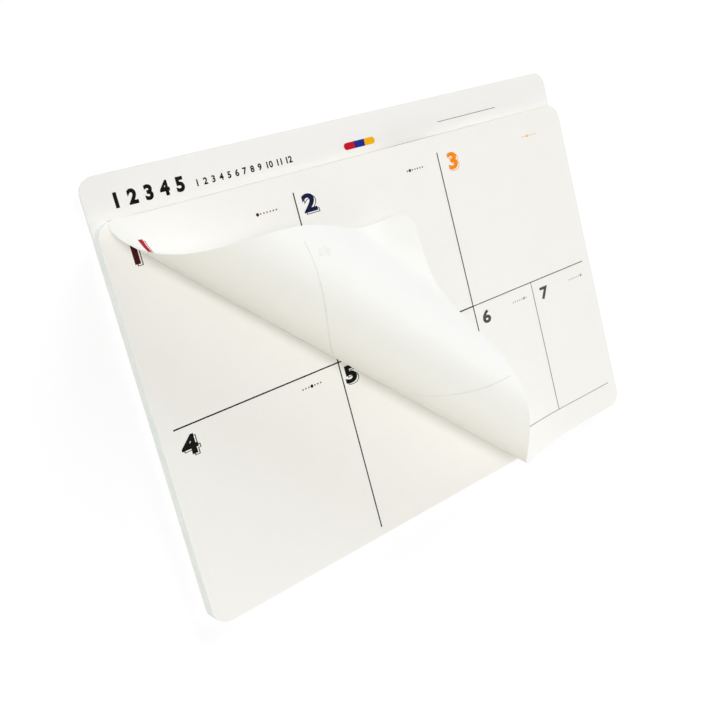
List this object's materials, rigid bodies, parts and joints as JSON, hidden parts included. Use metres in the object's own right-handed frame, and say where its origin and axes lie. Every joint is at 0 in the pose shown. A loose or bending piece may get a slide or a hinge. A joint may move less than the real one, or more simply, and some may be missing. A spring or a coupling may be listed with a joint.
{
  "type": "tear-off planner pad",
  "caption": "Landscape desk pad of ruled weekly sheets, glued along the head to a rigid board with a bare header band; the top sheet is peeled back in a loose roll.",
  "frame": {"origin": "middle of the board's back face, which lies on the desk", "axes": "+X across the page to the reader's right, +Y towards the header, +Z out of the page"},
  "size_m": [0.297, 0.21, 0.0648],
  "materials": {
    "board": "matt",
    "liner": "matt",
    "tape": "matt",
    "glue": "satin",
    "page": "matt"
  },
  "bodies": {
    "pad": {"backing_board": "board", "face_liner": "liner", "mounting_tape": "tape", "binding_glue": "glue", "sheet_03": "page", "sheet_04": "page", "sheet_05": "page", "sheet_06": "page", "sheet_07": "page", "sheet_08": "page", "sheet_09": "page", "sheet_10": "page", "sheet_11": "page", "sheet_12": "page", "sheet_13": "page", "sheet_14": "page", "sheet_15": "page", "sheet_16": "page", "sheet_17": "page", "sheet_18": "page", "sheet_19": "page", "sheet_20": "page", "sheet_21": "page", "sheet_22": "page", "sheet_23": "page", "sheet_24": "page", "sheet_25": "page", "sheet_26": "page", "sheet_27": "page", "sheet_28": "page", "sheet_29": "page", "sheet_30": "page", "sheet_31": "page", "sheet_32": "page", "sheet_33": "page", "sheet_34": "page", "sheet_35": "page", "sheet_36": "page", "sheet_37": "page", "sheet_38": "page", "sheet_39": "page", "sheet_40": "page", "sheet_41": "page", "sheet_42": "page", "sheet_43": "page", "sheet_44": "page", "sheet_45": "page", "sheet_46": "page", "sheet_47": "page", "sheet_48": "page", "sheet_49": "page", "sheet_50": "page", "sheet_51": "page", "sheet_52": "page"},
    "second_leaf": {"sheet_02": "page"},
    "top_leaf": {"sheet_01": "page"}
  },
  "joints": [
    {"name": "leaf_lift", "type": "hinge", "parent": "pad", "child": "second_leaf", "pos_m": [0, 0.0845, 0.00735], "axis": [-1, 0, 0], "range_deg": [0, 105]},
    {"name": "tear_off", "type": "slide", "parent": "second_leaf", "child": "top_leaf", "axis": [0, -1, 0], "range_m": [0, 0.25]}
  ]
}
